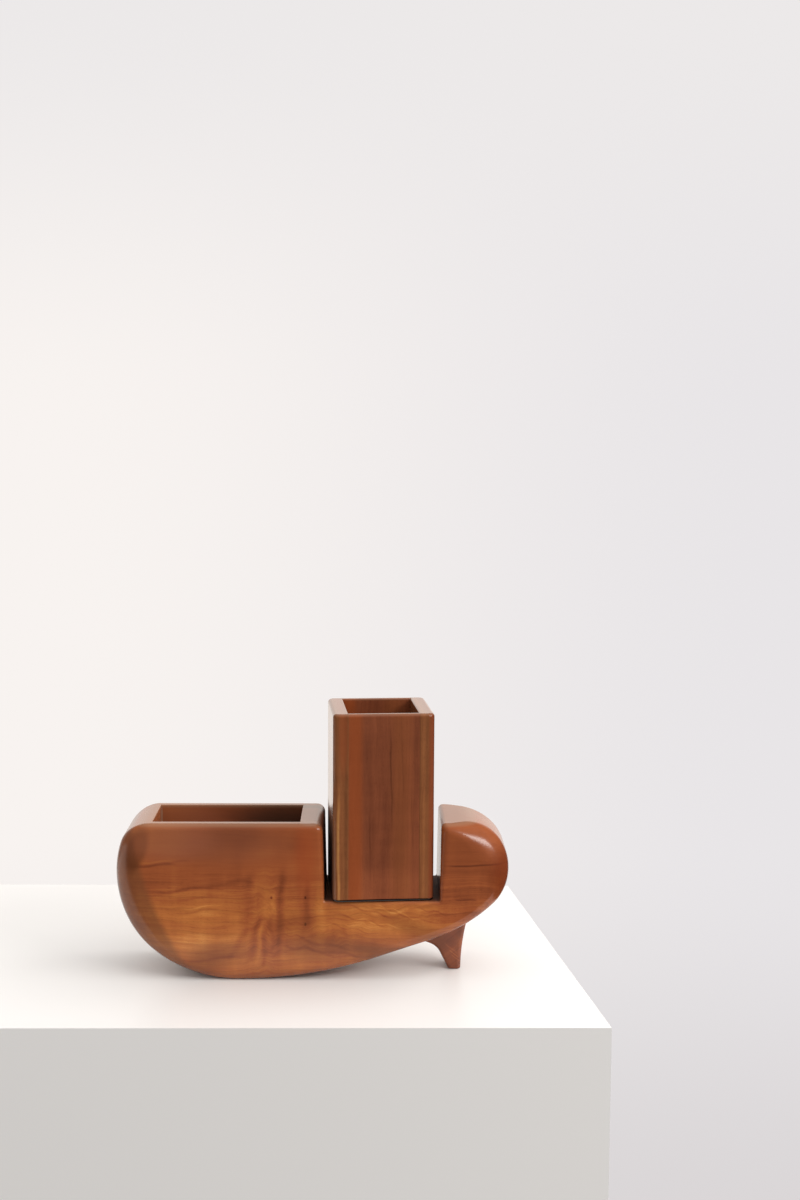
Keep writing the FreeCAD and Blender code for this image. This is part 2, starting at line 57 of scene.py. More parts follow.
class NodeBench:
    # a short way to write node trees: every call returns the new node's output
    def __init__(self, tree):
        self.tree = tree

    def add(self, kind, outputName=None, inputs=None, **settings):
        made = self.tree.nodes.new(kind)
        for name, setting in settings.items():
            setattr(made, name, setting)
        for name, feed in (inputs or {}).items():
            self.feed(made.inputs[name], feed)
        return made.outputs[outputName] if outputName is not None else made

    def feed(self, socket, feed):
        if isinstance(feed, bpy.types.NodeSocket):
            self.tree.links.new(feed, socket)
        else:
            socket.default_value = feed

    def maths(self, operation, a, b=0.0, c=0.0):
        return self.add("ShaderNodeMath", 0, {0: a, 1: b, 2: c}, operation=operation)

    def vectorMaths(self, operation, a, b=(0.0, 0.0, 0.0), c=(0.0, 0.0, 0.0)):
        return self.add("ShaderNodeVectorMath", 0, {0: a, 1: b, 2: c}, operation=operation)

    def split(self, vector):
        return self.add("ShaderNodeSeparateXYZ", None, {0: vector}).outputs

    def stretched(self, vector, scale, offset=(0.0, 0.0, 0.0)):
        return self.add("ShaderNodeMapping", 0, {"Vector": vector, "Scale": scale, "Location": offset})

    def noise(self, vector, detail=2.0, roughness=0.5, output="Fac"):
        return self.add("ShaderNodeTexNoise", output,
                        {"Vector": vector, "Scale": 1.0, "Detail": detail, "Roughness": roughness})

    def range(self, number, low, high, toLow=0.0, toHigh=1.0, smooth=True):
        return self.add("ShaderNodeMapRange", 0,
                        {0: number, 1: low, 2: high, 3: toLow, 4: toHigh},
                        interpolation_type="SMOOTHSTEP" if smooth else "LINEAR", clamp=True)

    def blend(self, factor, first, second):
        made = self.add("ShaderNodeMix", data_type="RGBA")
        self.feed(made.inputs["Factor"], factor)
        self.feed(made.inputs[6], first)
        self.feed(made.inputs[7], second)
        return made.outputs[2]

    def ramp(self, factor, stops):
        made = self.tree.nodes.new("ShaderNodeValToRGB")
        elements = made.color_ramp.elements
        elements[0].position, elements[0].color = stops[0]
        elements[1].position, elements[1].color = stops[-1]
        for position, colour in stops[1:-1]:
            elements.new(position).color = colour
        self.feed(made.inputs[0], factor)
        return made.outputs[0]


# The grain takes a place in millimetres, with the grain along X, and gives bands, fine lines, pores,
# growth rings and curl. Scales are waves per mm: along the grain, front to back, and upwards.
grainSettings = {
    "slowWarp": 9.0,       # mm that the bands wander over a hand's width
    "slowScale": (0.008, 0.022, 0.022),
    "quickWarp": 1.3,      # mm of small wobble
    "quickScale": (0.05, 0.1, 0.1),
    "swirlScale": (0.075, 0.02, 0.05),
    "bandWidth": 7.0,      # mm across one growth band
    "bandAlong": 0.005,
    "bandDepthShare": 0.7,     # waves front to back, as a share of those upwards
    "lineWidth": 0.9,      # mm across one fine line
    "lineAlong": 0.03,
    "lineDepthShare": 0.6,
    "poreLength": 2.6,
    "poreWidth": 0.16,
    "ringHeight": 5.5,     # mm from one dark ring line to the next, upwards
    "ringDepth": 16.0,     # the same, front to back
    "ringWander": 1.6,     # rings that the line strays with the bands
    "ringSharpness": 7.0,
    "curlScale": (0.16, 0.03, 0.035),
    "curlPlace": (3.1, 0.0, 1.7),
}


def makeGrainGroup():
    group = bpy.data.node_groups.new("sawnGrain", "ShaderNodeTree")
    face = group.interface
    face.new_socket("Place", in_out="INPUT", socket_type="NodeSocketVector")
    face.new_socket("Swirl", in_out="INPUT", socket_type="NodeSocketFloat")
    for name in ("Bands", "Lines", "Pores", "Rings", "Curl"):
        face.new_socket(name, in_out="OUTPUT", socket_type="NodeSocketFloat")
    bench = NodeBench(group)
    entry = group.nodes.new("NodeGroupInput").outputs
    place = entry["Place"]
    swirl = entry["Swirl"]
    grain = grainSettings

    # three noises shift the place up, down, forwards and back: slow drift, small wobble and local swirls
    slow = bench.noise(bench.stretched(place, grain["slowScale"]), 1.0, 0.4, "Color")
    quick = bench.noise(bench.stretched(place, grain["quickScale"]), 2.0, 0.5, "Color")
    turned = bench.noise(bench.stretched(place, grain["swirlScale"]), 1.5, 0.5, "Color")
    shift = place
    for wander, reach in ((slow, (0.0, 2 * grain["slowWarp"], 2 * grain["slowWarp"])),
                          (quick, (0.0, 2 * grain["quickWarp"], 2 * grain["quickWarp"])),
                          (turned, bench.add("ShaderNodeCombineXYZ", 0, {"Y": swirl, "Z": swirl}))):
        centred = bench.vectorMaths("SUBTRACT", wander, (0.5, 0.5, 0.5))
        shift = bench.vectorMaths("MULTIPLY_ADD", centred, reach, shift)

    across = 1 / grain["bandWidth"]
    bandScale = (grain["bandAlong"], across * grain["bandDepthShare"], across)
    bands = bench.noise(bench.stretched(shift, bandScale), 2.5, 0.5)
    fine = 1 / grain["lineWidth"]
    lineScale = (grain["lineAlong"], fine * grain["lineDepthShare"], fine)
    lines = bench.noise(bench.stretched(shift, lineScale), 3.0, 0.6)
    poreScale = (1 / grain["poreLength"], 1 / grain["poreWidth"], 1 / grain["poreWidth"])
    pores = bench.noise(bench.stretched(shift, poreScale), 1.0, 0.5)
    parts = bench.split(shift)
    ringPlace = bench.maths("MULTIPLY_ADD", parts["Z"], 1 / grain["ringHeight"],
                            bench.maths("MULTIPLY", parts["Y"], 1 / grain["ringDepth"]))
    ringPlace = bench.maths("ADD", ringPlace, bench.maths("MULTIPLY", bands, grain["ringWander"]))
    rings = bench.maths("POWER", bench.maths("FRACT", ringPlace), grain["ringSharpness"])
    curl = bench.noise(bench.stretched(place, grain["curlScale"], grain["curlPlace"]), 2.0, 0.5)

    leave = group.nodes.new("NodeGroupOutput")
    results = {"Bands": bands, "Lines": lines, "Pores": pores, "Rings": rings, "Curl": curl}
    for name, feed in results.items():
        group.links.new(feed, leave.inputs[name])
    return group


grainGroup = makeGrainGroup()

rightThrough = (0.0, 1e6)     # mm: centre and half depth of a spot that names none


def softSpot(bench, place, spot):
    # 1 in the core of an upright ellipse or square-cornered patch, fading to 0 at its rim
    x, z = spot["centre"]
    wide, high = spot["size"]
    y, deep = spot.get("depth", rightThrough)
    turn = math.radians(spot.get("turn", 0.0))
    moved = bench.add("ShaderNodeMapping", 0,
                      {"Vector": place, "Location": (x, y, z), "Rotation": (0.0, turn, 0.0),
                       "Scale": (wide, deep, high)}, vector_type="TEXTURE")
    if spot.get("square"):
        parts = bench.split(bench.vectorMaths("ABSOLUTE", moved))
        reach = bench.maths("MAXIMUM", bench.maths("MAXIMUM", parts["X"], parts["Y"]), parts["Z"])
    else:
        reach = bench.add("ShaderNodeVectorMath", "Value", {0: moved}, operation="LENGTH")
    inside, outside = (0.0, 1.0) if spot.get("outside") else (1.0, 0.0)
    return bench.range(reach, spot.get("core", 0.2), 1.0, inside, outside)


strokeSettings = {
    "wobbleScale": (0.09, 0.03, 0.09),
    "wobble": 3.0,         # how far the line strays from its even wave, in heights of that wave
    "fullLength": 0.45,    # share of the length at full strength
}


def makeStrokeGroup():
    # a soft line of figure on an upright face: 1 along the line, fading at its sides and ends
    group = bpy.data.node_groups.new("figureStroke", "ShaderNodeTree")
    face = group.interface
    face.new_socket("Place", in_out="INPUT", socket_type="NodeSocketVector")
    face.new_socket("Centre", in_out="INPUT", socket_type="NodeSocketVector")
    for name in ("Turn", "Length", "Width", "Wave", "Pitch"):
        face.new_socket(name, in_out="INPUT", socket_type="NodeSocketFloat")
    face.new_socket("Line", in_out="OUTPUT", socket_type="NodeSocketFloat")
    bench = NodeBench(group)
    entry = group.nodes.new("NodeGroupInput").outputs
    moved = bench.vectorMaths("SUBTRACT", entry["Place"], entry["Centre"])
    turned = bench.add("ShaderNodeVectorRotate", 0, {"Vector": moved, "Angle": entry["Turn"]},
                       rotation_type="Y_AXIS")
    parts = bench.split(turned)
    along = parts["X"]
    waves = bench.maths("DIVIDE", bench.maths("MULTIPLY", along, 2 * math.pi), entry["Pitch"])
    swing = bench.maths("SINE", waves)
    wobble = bench.noise(bench.stretched(entry["Place"], strokeSettings["wobbleScale"]), 2.0)
    stray = bench.maths("MULTIPLY_ADD", wobble, strokeSettings["wobble"], -strokeSettings["wobble"] / 2)
    swing = bench.maths("ADD", swing, stray)
    across = bench.maths("SUBTRACT", parts["Z"], bench.maths("MULTIPLY", swing, entry["Wave"]))
    lengthShare = bench.maths("DIVIDE", bench.maths("ABSOLUTE", along), entry["Length"])
    widthShare = bench.maths("DIVIDE", bench.maths("ABSOLUTE", across), entry["Width"])
    ends = bench.range(lengthShare, strokeSettings["fullLength"], 1.0, 1.0, 0.0)
    sides = bench.range(widthShare, 0.0, 1.0, 1.0, 0.0)
    leave = group.nodes.new("NodeGroupOutput")
    group.links.new(bench.maths("MULTIPLY", ends, sides), leave.inputs["Line"])
    return group


strokeGroup = makeStrokeGroup()


def figureLine(bench, place, stroke):
    x, z, turn, length, width, wave, pitch = stroke
    node = bench.tree.nodes.new("ShaderNodeGroup")
    node.node_tree = strokeGroup
    feeds = {"Place": place, "Centre": (x, 0.0, z), "Turn": math.radians(turn), "Length": length,
             "Width": width, "Wave": wave, "Pitch": pitch}
    for name, feed in feeds.items():
        bench.feed(node.inputs[name], feed)
    return node.outputs["Line"]


def makeWood(name, settings):
    material = bpy.data.materials.new(name)
    material.use_nodes = True
    tree = material.node_tree
    tree.nodes.clear()
    bench = NodeBench(tree)
    coordinates = bench.add("ShaderNodeTexCoord", "Object")
    # millimetres on the piece, then turned so that X follows the grain
    place = bench.add("ShaderNodeMapping", 0,
                      {"Vector": coordinates, "Location": settings["centre"],
                       "Rotation": (0.0, 0.0, math.radians(settings["turn"])),
                       "Scale": (0.001, 0.001, 0.001)}, vector_type="TEXTURE")
    grainPlace = bench.add("ShaderNodeMapping", 0,
                           {"Vector": place, "Rotation": settings["grainTurn"], "Location": settings["seed"]})
    swirl = 0.0
    for spot in settings.get("swirls", ()):
        strength = bench.maths("MULTIPLY", softSpot(bench, place, spot), spot["strength"])
        swirl = bench.maths("ADD", strength, swirl)
    grain = tree.nodes.new("ShaderNodeGroup")
    grain.node_tree = grainGroup
    bench.feed(grain.inputs["Place"], grainPlace)
    bench.feed(grain.inputs["Swirl"], swirl)

    # flat tops are sanded smooth and mirror the room, so their grain stays faint
    height = bench.split(place)["Z"]
    calm = bench.range(height, *settings["calmFrom"])
    lively = bench.maths("MULTIPLY_ADD", calm, -settings["calm"], 1.0)
    lively = bench.maths("MULTIPLY", lively,
                         bench.range(height, *settings["quietFrom"], 1.0, 1.0 - settings["quiet"]))

    # tone: grain, soft spots and strokes added up, then read off as a colour
    tone = settings["tone"]
    for output, contrast in (("Bands", "bandContrast"), ("Lines", "lineContrast"), ("Curl", "curlContrast")):
        centred = bench.maths("MULTIPLY", bench.maths("SUBTRACT", grain.outputs[output], 0.5), lively)
        tone = bench.maths("MULTIPLY_ADD", centred, settings[contrast], tone)
    for spot in settings.get("spots", ()):
        tone = bench.maths("MULTIPLY_ADD", softSpot(bench, place, spot), spot["strength"], tone)
    for *stroke, strength in settings.get("strokes", ()):
        tone = bench.maths("MULTIPLY_ADD", figureLine(bench, place, stroke), strength, tone)
    colour = bench.ramp(tone, [(position, hexColour(code)) for position, code in settings["colours"]])

    # over it the dark growth rings, the pores, local tints (some of them painted shade, painted highlights
    # and painted reflections) and a pale painted reflection of the room on the tops
    ringFactor = bench.maths("MULTIPLY", bench.maths("MULTIPLY", grain.outputs["Rings"], lively),
                             settings["ringStrength"])
    colour = bench.blend(ringFactor, colour, hexColour(settings["dark"]))
    poreFactor = bench.range(grain.outputs["Pores"], *settings["poreFrom"], 0.0, settings["poreStrength"])
    colour = bench.blend(bench.maths("MULTIPLY", poreFactor, lively), colour, hexColour(settings["pore"]))
    for tint in settings.get("tints", ()):
        factor = bench.maths("MULTIPLY", softSpot(bench, place, tint), tint["strength"])
        colour = bench.blend(factor, colour, hexColour(tint["colour"]))
    # painted reflection: the flat tops are tinted towards a pale colour that stands for the room they mirror
    paintedTopReflectionFactor = bench.maths("MULTIPLY", calm, settings["paintedTopReflectionShare"])
    colour = bench.blend(paintedTopReflectionFactor, colour, hexColour(settings["paintedTopReflection"]))

    # lacquer: nearly even gloss, duller where a hand or the slot rubs, and a trace of open grain
    glossy, satin = (settings["roughness"] + step for step in settings["roughnessSpread"])
    rough = bench.range(grain.outputs["Lines"], *settings["lineFrom"], glossy, satin)
    for spot in settings.get("dull", ()):
        rough = bench.maths("MULTIPLY_ADD", softSpot(bench, place, spot), settings["dullness"], rough)
    relief = bench.maths("MULTIPLY_ADD", grain.outputs["Pores"], -settings["poreDepth"],
                         grain.outputs["Lines"])
    bump = bench.add("ShaderNodeBump", 0, {"Strength": bench.maths("MULTIPLY", lively, settings["bump"]),
                                          "Distance": settings["grainDepth"], "Height": relief})
    shader = bench.add("ShaderNodeBsdfPrincipled", None,
                       {"Base Color": colour, "Roughness": rough, "Normal": bump, "IOR": settings["ior"]})
    out = tree.nodes.new("ShaderNodeOutputMaterial")
    tree.links.new(shader.outputs[0], out.inputs["Surface"])
    return material


def dress(nodeName, material):
    piece = nodes[nodeName]
    piece.data.materials.clear()
    piece.data.materials.append(material)


woodBase = {
    "centre": (0.0, 0.0, 0.0),     # m: where the spots, strokes and grain are measured from
    "turn": 0.0,                   # degrees about the vertical
    "grainTurn": (0.0, 0.0, 0.0),  # radians: from along X to along the piece
    "seed": (11.0, 3.0, 40.0),     # mm: which part of the log the piece is cut from
    "tone": 0.53,
    "bandContrast": 0.62,
    "lineContrast": 0.2,
    "curlContrast": 0.3,
    "colours": ((0.0, "43200F"), (0.28, "783C21"), (0.52, "97502B"), (0.78, "B26A34"), (1.0, "CC8746")),
    "dark": "4A2213",
    "ringStrength": 0.22,
    "pore": "3A1B10",
    "poreFrom": (0.62, 0.72),
    "poreStrength": 0.35,
    "ior": 1.5,
    "roughness": 0.2,
    "roughnessSpread": (-0.01, 0.02),   # added on the lines of the grain
    "lineFrom": (0.3, 0.7),
    "dullness": 0.5,               # added where the polish is gone
    "bump": 0.03,
    "grainDepth": 0.00006,         # m
    "poreDepth": 0.5,              # as a share of the lines' height
    "calmFrom": (80.6, 82.3),      # mm: height at which the sanded top begins
    "calm": 0.75,
    "quietFrom": (48.0, 64.0),     # mm: height over which the grain grows quieter
    "quiet": 0.0,
    # painted reflection: the pale colour that the flat tops are tinted towards
    "paintedTopReflection": "947A62",
    "paintedTopReflectionShare": 0.4,
}

# Spots and tints are in mm: centre x and z, half width and half height, and as depth the centre y and
# half depth. Strokes are x, z, turn in degrees, half length, half width, wave, pitch, strength.
bodyWood = {**woodBase,
    "lineContrast": 0.42,
    "quiet": 0.7,
    # the slot's left wall and its floor are less polished
    "dull": (
        {"centre": (2.0, 62.0), "size": (7.0, 20.0), "depth": (0.0, 24.8), "core": 0.9, "square": True},
        {"centre": (35.0, 42.5), "size": (36.0, 1.0), "depth": (0.0, 25.6), "core": 0.95, "square": True},
    ),
    # where the grain swirls, by so many mm
    "swirls": (
        {"centre": (-24.0, 30.0), "size": (15.0, 46.0), "strength": 22.0},
        {"centre": (6.0, 24.0), "size": (24.0, 16.0), "strength": 16.0},
        {"centre": (45.0, 34.0), "size": (44.0, 14.0), "strength": 9.0},
    ),
    "spots": (
        # pale and glowing low on the left
        {"centre": (-58.0, 24.0), "size": (46.0, 34.0), "strength": 0.30, "core": 0.0},
        {"centre": (-14.0, 18.0), "size": (40.0, 28.0), "strength": 0.16, "core": 0.0},
        # mottled under the tray's rim
        {"centre": (-37.0, 75.5), "size": (22.0, 11.0), "strength": -0.11, "core": 0.1, "turn": 4.0},
        {"centre": (-77.0, 77.0), "size": (30.0, 13.0), "strength": 0.15, "core": 0.2},
        {"centre": (-26.0, 70.0), "size": (12.0, 9.0), "strength": 0.07, "core": 0.2},
        {"centre": (-8.0, 72.0), "size": (7.0, 10.0), "strength": -0.07, "core": 0.2},
        {"centre": (-40.0, 58.0), "size": (9.0, 14.0), "strength": -0.06, "core": 0.1},
        {"centre": (-24.0, 53.0), "size": (7.0, 10.0), "strength": 0.07, "core": 0.2},
        # pale flames between the dark streaks, and three pin knots
        {"centre": (-22.5, 40.0), "size": (6.0, 12.0), "strength": 0.18, "core": 0.3},
        {"centre": (-10.0, 32.0), "size": (6.5, 14.0), "strength": 0.16, "core": 0.3},
        {"centre": (4.0, 32.0), "size": (5.0, 18.0), "strength": 0.16, "core": 0.2},
        {"centre": (-20.9, 44.3), "size": (0.9, 1.1), "strength": -0.45, "core": 0.3},
        {"centre": (-3.4, 44.3), "size": (0.8, 1.0), "strength": -0.45, "core": 0.3},
        {"centre": (-3.4, 30.2), "size": (0.8, 1.3), "strength": -0.45, "core": 0.3},
        # darker at the top, paler under the slot, and the head
        {"centre": (-45.0, 78.0), "size": (75.0, 26.0), "strength": -0.10, "core": 0.0},
        {"centre": (38.0, 34.0), "size": (52.0, 16.0), "strength": 0.24, "core": 0.2},
        {"centre": (90.0, 50.0), "size": (22.0, 18.0), "strength": 0.04, "core": 0.0},
        {"centre": (78.0, 54.0), "size": (34.0, 40.0), "strength": -0.13, "core": 0.3},
        # the foot of the flames
        {"centre": (-24.0, 19.5), "size": (20.0, 12.0), "strength": -0.14, "core": 0.2},
        {"centre": (-6.0, 27.0), "size": (16.0, 16.0), "strength": -0.12, "core": 0.2},
    ),
    "strokes": (
        # long lines on the left
        (-82.0, 61.2, 3.0, 15.0, 1.2, 0.3, 19.0, -0.20),
        (-80.0, 63.0, 3.0, 11.0, 0.9, 0.3, 15.0, 0.10),
        (-70.0, 63.2, 6.0, 9.0, 1.0, 0.3, 12.0, -0.10),
        (-68.0, 48.2, 6.0, 22.0, 1.5, 0.5, 24.0, -0.20),
        (-42.0, 52.0, 9.0, 14.0, 2.6, 0.4, 17.0, -0.11),
        (-60.0, 43.8, 5.0, 18.0, 1.4, 0.4, 21.0, -0.10),
        (-60.0, 36.8, 8.0, 15.0, 0.9, 0.4, 16.0, -0.14),
        (-58.0, 39.0, 8.0, 14.0, 0.8, 0.4, 16.0, 0.12),
        (-52.0, 11.6, 7.0, 20.0, 1.3, 0.5, 22.0, -0.20),
        (-48.0, 16.5, 7.0, 18.0, 1.2, 0.5, 22.0, -0.10),
        # upright dark streaks, and the flames that curl round their feet
        (-16.4, 36.0, 87.0, 28.0, 3.2, 0.4, 31.0, -0.23),
        (-33.0, 44.0, 84.0, 18.0, 4.5, 0.8, 25.0, -0.15),
        (-2.6, 39.0, 88.0, 16.0, 2.6, 0.3, 19.0, -0.16),
        (-30.0, 22.0, 76.0, 17.0, 2.6, 0.8, 22.0, -0.14),
        (-24.5, 18.0, 84.0, 15.0, 2.0, 0.8, 20.0, -0.13),
        (-27.2, 20.0, 80.0, 14.0, 1.6, 0.8, 22.0, 0.12),
        (-38.0, 20.0, 55.0, 13.0, 2.8, 0.6, 22.0, -0.13),
        (-20.5, 26.0, 92.0, 13.0, 1.8, 0.8, 15.0, -0.10),
        # short ripples beside them
        (-9.5, 31.0, -4.0, 6.0, 0.7, 0.5, 6.0, -0.10),
        (-9.0, 27.5, -4.0, 6.0, 0.7, 0.5, 7.0, -0.10),
        (-9.5, 24.0, -4.0, 6.5, 0.7, 0.5, 6.0, -0.12),
        # sweeping lines under the middle
        (-6.0, 17.5, -8.0, 10.0, 1.4, 0.6, 14.0, -0.2),
        (7.0, 19.5, -14.0, 17.0, 1.4, 1.0, 23.0, -0.2),
        (10.0, 15.5, -12.0, 19.0, 1.3, 1.0, 26.0, -0.16),
        (18.0, 13.0, -10.0, 20.0, 1.3, 1.0, 28.0, -0.12),
        # fine waves under the slot
        (30.0, 37.0, -16.0, 20.0, 0.8, 0.6, 13.0, -0.18),
        (26.0, 32.5, -14.0, 20.0, 0.8, 0.6, 15.0, -0.16),
        (44.0, 36.0, -14.0, 20.0, 0.7, 0.6, 11.0, 0.16),
        (36.0, 30.5, -12.0, 20.0, 0.7, 0.6, 12.0, 0.14),
        (52.0, 34.0, -13.0, 18.0, 0.8, 0.5, 14.0, -0.15),
        (20.0, 28.0, -12.0, 18.0, 0.7, 0.6, 12.0, -0.14),
        (62.0, 37.0, -12.0, 14.0, 0.6, 0.5, 9.0, -0.14),
        (40.0, 38.5, -14.0, 10.0, 0.5, 0.4, 7.0, 0.14),
        # two lines across the head
        (85.0, 61.4, 1.0, 19.0, 0.8, 0.2, 31.0, -0.26),
        (79.5, 43.2, 0.0, 7.0, 0.9, 0.2, 11.0, -0.20),
    ),
    "tints": (
        # painted shade all round the outline, where the body turns away from the light
        {"centre": (80.1, 105.6), "size": (177.0, 177.0), "core": 0.975, "outside": True,
         "colour": "6B4127", "strength": 0.62},
        # painted shade: a dark patch on the shoulder, then darker and browner along the underside
        {"centre": (-90.5, 69.0), "size": (7.0, 16.0), "turn": 20.0, "core": 0.5,
         "colour": "552A12", "strength": 0.6},
        {"centre": (-62.0, 4.0), "size": (34.0, 13.0), "turn": -32.0, "core": 0.2,
         "colour": "6A3418", "strength": 0.6},
        {"centre": (-10.0, -1.0), "size": (60.0, 9.0), "core": 0.3, "colour": "7A401C", "strength": 0.5},
        {"centre": (45.0, 11.0), "size": (50.0, 9.0), "turn": 15.0, "core": 0.3,
         "colour": "70401F", "strength": 0.6},
        {"centre": (2.0, 18.0), "size": (24.0, 10.0), "core": 0.2, "colour": "743E1E", "strength": 0.55},
        # painted shade on the slot's left wall, and along the slot's floor round the cup
        {"centre": (2.0, 61.0), "size": (5.0, 20.0), "depth": (0.0, 24.4), "core": 0.85, "square": True,
         "colour": "2A1A10", "strength": 0.6},
        {"centre": (35.0, 42.5), "size": (35.0, 0.9), "depth": (0.0, 25.4), "core": 0.95, "square": True,
         "colour": "2C1C12", "strength": 0.6},
        # pinker under the tray's rim, redder beside the slot
        {"centre": (-44.0, 73.0), "size": (52.0, 17.0), "core": 0.2, "colour": "7A4833", "strength": 0.45},
        {"centre": (-74.0, 74.0), "size": (34.0, 15.0), "core": 0.3, "colour": "925740", "strength": 0.45},
        {"centre": (-3.0, 66.0), "size": (9.0, 30.0), "core": 0.2, "colour": "97401D", "strength": 0.4},
        # a pale painted reflection on the head's top towards the back, painted shade on the tray's back wall,
        # and a thin painted highlight up its left corner
        {"centre": (86.0, 77.0), "size": (15.0, 9.0), "depth": (10.0, 26.0), "core": 0.5,
         "colour": "9A7B68", "strength": 0.3},
        {"centre": (-14.0, 70.0), "size": (44.0, 26.0), "depth": (15.5, 7.5), "core": 0.4,
         "colour": "2C2822", "strength": 0.8},
        {"centre": (-82.6, 77.0), "size": (0.7, 7.0), "depth": (18.6, 1.0), "core": 0.5,
         "colour": "A88A74", "strength": 0.6},
        # the nose, three browner patches, and a pale painted reflection on the rim between tray and slot
        {"centre": (100.0, 57.0), "size": (13.0, 20.0), "core": 0.2, "colour": "66280E", "strength": 0.8},
        {"centre": (-8.0, 30.0), "size": (20.0, 10.0), "core": 0.2, "colour": "7C4322", "strength": 0.35},
        {"centre": (-48.0, 15.0), "size": (26.0, 8.0), "core": 0.2, "colour": "743C1E", "strength": 0.4},
        {"centre": (55.0, 27.0), "size": (26.0, 7.0), "turn": 22.0, "core": 0.2,
         "colour": "7C4624", "strength": 0.5},
        {"centre": (-1.0, 82.9), "size": (7.0, 1.4), "core": 0.4, "colour": "B89C8C", "strength": 0.25},
    ),
}
bodyLook = makeWood("bodyWood", bodyWood)
for nodeName in ("front_cheek", "body_core", "back_cheek"):
    dress(nodeName, bodyLook)

footWood = {**woodBase,
    "grainTurn": (0.0, math.radians(38.0), 0.0),
    "seed": (51.0, 13.0, 7.0),
    "tone": 0.36,
    "strokes": (
        (74.5, 9.0, -42.0, 4.0, 0.4, 0.1, 9.0, 0.30),
        (75.5, 6.5, -42.0, 4.0, 0.35, 0.1, 9.0, 0.25),
        (73.0, 12.0, -42.0, 6.0, 0.7, 0.2, 9.0, 0.12),
    ),
    "tints": (
        {"centre": (66.0, 14.0), "size": (7.0, 16.0), "core": 0.1, "colour": "6E371A", "strength": 0.7},
    ),
}
dress("foot", makeWood("footWood", footWood))

pinWood = {**woodBase,
    "grainTurn": (0.0, math.radians(90.0), 0.0),
    "colours": ((0.0, "8A6238"), (0.4, "B08552"), (0.7, "C69C66"), (1.0, "DDB984")),
    "dark": "7A5230",
    "pore": "5E3D22",
    "roughness": 0.6,
}
pinLook = makeWood("pinWood", pinWood)

cupCentre = [sum(pair) / 2 for pair in zip(*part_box("cup_base"))]
cupBase = {**woodBase,
    "centre": (cupCentre[0], cupCentre[1], 0.0),
    "turn": 4.65,              # as the cup stands in the slot
    "grainTurn": (0.0, math.radians(90.0), 0.0),
    "calmFrom": (139.2, 140.2),
    "roughness": 0.13,
    # painted reflection on the cup's top edges
    "paintedTopReflection": "8E6C58",
    "bandContrast": 0.4,
    "curlContrast": 0.15,
    "ringStrength": 0.12,
}
# painted shade: a dark band of contact shadow round the cup's foot, where it stands in the slot
contactShade = {"centre": (0.0, 40.0), "size": (90.0, 4.1), "core": 0.86, "colour": "120804", "strength": 1.0}

panelWood = {**cupBase,
    "tone": 0.39,
    "colours": ((0.0, "3C1F12"), (0.28, "6D3A25"), (0.52, "8B4C30"), (0.78, "A5643C"), (1.0, "BE7E4C")),
    "spots": (
        {"centre": (-3.0, 95.0), "size": (9.0, 200.0), "strength": -0.07, "core": 0.4},
        {"centre": (11.0, 95.0), "size": (7.0, 200.0), "strength": 0.03, "core": 0.3},
        {"centre": (0.0, 46.0), "size": (30.0, 22.0), "strength": 0.12, "core": 0.2},
    ),
    "strokes": (
        (3.6, 105.0, 90.0, 30.0, 0.8, 0.4, 60.0, -0.16),
        (9.5, 112.0, 90.0, 20.0, 0.7, 0.3, 40.0, -0.10),
        (-7.0, 70.0, 90.0, 26.0, 0.8, 0.4, 50.0, -0.08),
        (14.5, 84.0, 90.0, 22.0, 0.6, 0.3, 40.0, -0.08),
    ),
    "tints": (
        {"centre": (-15.0, 95.0), "size": (5.5, 300.0), "core": 0.3, "colour": "94471F", "strength": 0.55},
        {"centre": (9.0, 95.0), "size": (8.0, 300.0), "core": 0.2, "colour": "7C4624", "strength": 0.35},
        contactShade,
    ),
}

wallWood = {**cupBase,
    # the side that rubs in the slot has lost its polish
    "dull": (
        {"centre": (-26.8, 42.0), "size": (1.6, 47.0), "core": 0.75, "square": True},
    ),
    "seed": (71.0, 23.0, 17.0),
    "tone": 0.42,
    "colours": ((0.0, "3A2012"), (0.28, "6C4025"), (0.52, "8A5432"), (0.78, "AC7644"), (1.0, "CC985C")),
    # upright stripes on the walls' front edges
    "strokes": (
        (-23.4, 58.0, 90.0, 54.0, 1.3, 0.2, 70.0, 0.36),
        (-19.6, 95.0, 90.0, 90.0, 1.6, 0.0, 70.0, -0.14),
        (18.4, 95.0, 90.0, 90.0, 0.6, 0.0, 70.0, -0.16),
        (20.6, 95.0, 90.0, 90.0, 1.4, 0.0, 70.0, 0.12),
        (25.8, 95.0, 90.0, 90.0, 1.6, 0.0, 70.0, -0.30),
    ),
    "tints": (
        {"centre": (-21.0, 130.0), "size": (3.5, 30.0), "core": 0.3, "colour": "8A4526", "strength": 0.6},
        # painted shade on the cup's left side, down in the slot beside the body
        {"centre": (-26.8, 42.0), "size": (1.4, 47.0), "core": 0.65, "square": True,
         "colour": "3A2315", "strength": 0.25},
        {"centre": (24.6, 95.0), "size": (2.4, 300.0), "core": 0.2, "colour": "7A3A22", "strength": 0.7},
        contactShade,
    ),
}

panelLook = makeWood("cupPanelWood", panelWood)
for nodeName in ("cup_front_panel", "cup_back_panel", "cup_base"):
    dress(nodeName, panelLook)
wallLook = makeWood("cupWallWood", wallWood)
for nodeName in ("cup_left_wall", "cup_right_wall"):
    dress(nodeName, wallLook)
print("wood done")

# the dowels that hold the foot: fluted pins in a row, hidden in the wood
dowels = {
    "Count": 2,
    "Spacing": 0.008,       # m, as all lengths here
    "Radius": 0.00247,
    "Length": 0.01996,
    "Chamfer": 0.0006,
    "Flutes": 20,
    "Flute Depth": 0.00014,
}
dowelStations = 61      # rings of points along a pin, close enough together to show its chamfer


